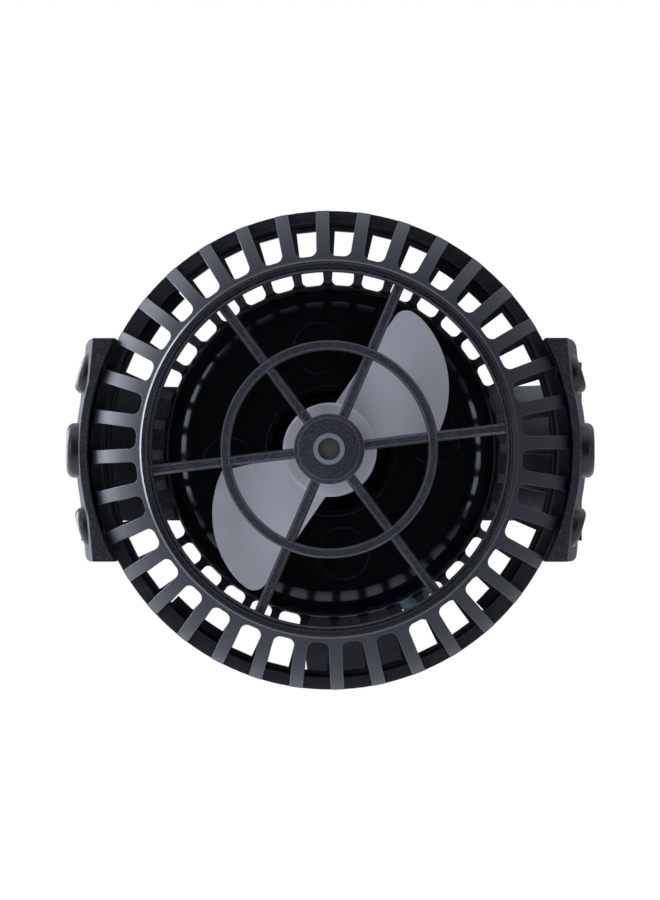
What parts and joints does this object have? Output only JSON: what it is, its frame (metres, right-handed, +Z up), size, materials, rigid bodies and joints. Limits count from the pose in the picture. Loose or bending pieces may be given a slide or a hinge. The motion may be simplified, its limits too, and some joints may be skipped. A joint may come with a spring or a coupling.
{
  "type": "wave maker pump",
  "caption": "Round slotted-cage aquarium circulation pump with a two-blade propeller, gripped by a tilting cradle on a swivelling magnet base for a glass wall.",
  "frame": {"origin": "centre of the silicone pad's face, where the magnet base meets the aquarium glass; the flow axis passes through it", "axes": "+Z up, +Y into the glass, -Y along the outlet jet towards the viewer, +X to the right seen from the outlet"},
  "size_m": [0.0996, 0.1089, 0.0909],
  "materials": {
    "slat_plastic": "satin blue-grey ABS",
    "grille_plastic": "fine sparked texture, dark grey",
    "rear_guard_plastic": "satin black ABS",
    "plate_plastic": "polished black",
    "housing_plastic": "satin black",
    "cradle_plastic": "coarse sparked texture, dark grey",
    "base_plastic": "fine texture, near black",
    "propeller_plastic": "satin light grey",
    "grip_rubber": "smooth moulded rubber",
    "seal_rubber": "smooth rubber",
    "teal_silicone": "translucent teal silicone",
    "pad_silicone": "soft grey silicone",
    "bush_ceramic": "ground off-white ceramic",
    "shaft_ceramic": "ground brown-grey ceramic",
    "magnet": "sintered ferrite and sealed neodymium",
    "core_steel": "pressed sheet steel",
    "coil_copper": "enamelled copper wire",
    "bobbin_plastic": "natural nylon",
    "resin": "cast epoxy",
    "stainless": "stainless steel"
  },
  "bodies": {
    "magnet_base": {"base_housing": "base_plastic", "steel_keeper": "core_steel", "base_magnet": "magnet", "base_cover": "base_plastic", "glass_pad": "pad_silicone"},
    "swivel": {"swivel_hub": "cradle_plastic", "swivel_washer": "bobbin_plastic", "swivel_clip": "stainless"},
    "cradle": {"cradle": "cradle_plastic", "left_centre_grip": "grip_rubber", "right_centre_grip": "grip_rubber", "left_edge_grips": "grip_rubber", "right_edge_grips": "grip_rubber", "tilt_pin": "stainless", "tilt_nut": "stainless"},
    "pump": {"rear_guard": "rear_guard_plastic", "chamber_plate": "plate_plastic", "rotor_can": "plate_plastic", "housing_seal": "seal_rubber", "motor_housing": "housing_plastic", "stator_core": "core_steel", "coil_bobbins": "bobbin_plastic", "stator_coils": "coil_copper", "resin_fill": "resin", "rotor_shaft": "shaft_ceramic", "shaft_seat": "seal_rubber", "thrust_washer": "bush_ceramic", "cable_block": "housing_plastic", "block_screws": "stainless", "gland_bush": "seal_rubber", "gland_nut": "housing_plastic", "port_plug": "teal_silicone"},
    "guard": {"front_guard": "slat_plastic", "guard_grille": "grille_plastic", "front_bush": "bush_ceramic"},
    "rotor": {"propeller": "propeller_plastic", "rotor_spindle": "housing_plastic", "rotor_magnet": "magnet", "rotor_bearings": "bush_ceramic"}
  },
  "joints": [
    {"name": "base_swivel", "type": "hinge", "parent": "magnet_base", "child": "swivel", "pos_m": [0, 0, 0], "axis": [0, 1, 0], "continuous": true},
    {"name": "cradle_tilt", "type": "hinge", "parent": "swivel", "child": "cradle", "pos_m": [0, -0.0285, 0], "axis": [1, 0, 0], "range_deg": [-35, 35]},
    {"name": "pump_roll", "type": "hinge", "parent": "cradle", "child": "pump", "pos_m": [0, -0.0945, 0], "axis": [0, -1, 0], "range_deg": [-40, 40]},
    {"name": "guard_twist", "type": "hinge", "parent": "pump", "child": "guard", "pos_m": [0, -0.0945, 0], "axis": [0, 1, 0], "range_deg": [0, 17]},
    {"name": "rotor_spin", "type": "hinge", "parent": "pump", "child": "rotor", "pos_m": [0, -0.0945, 0], "axis": [0, -1, 0], "continuous": true}
  ]
}
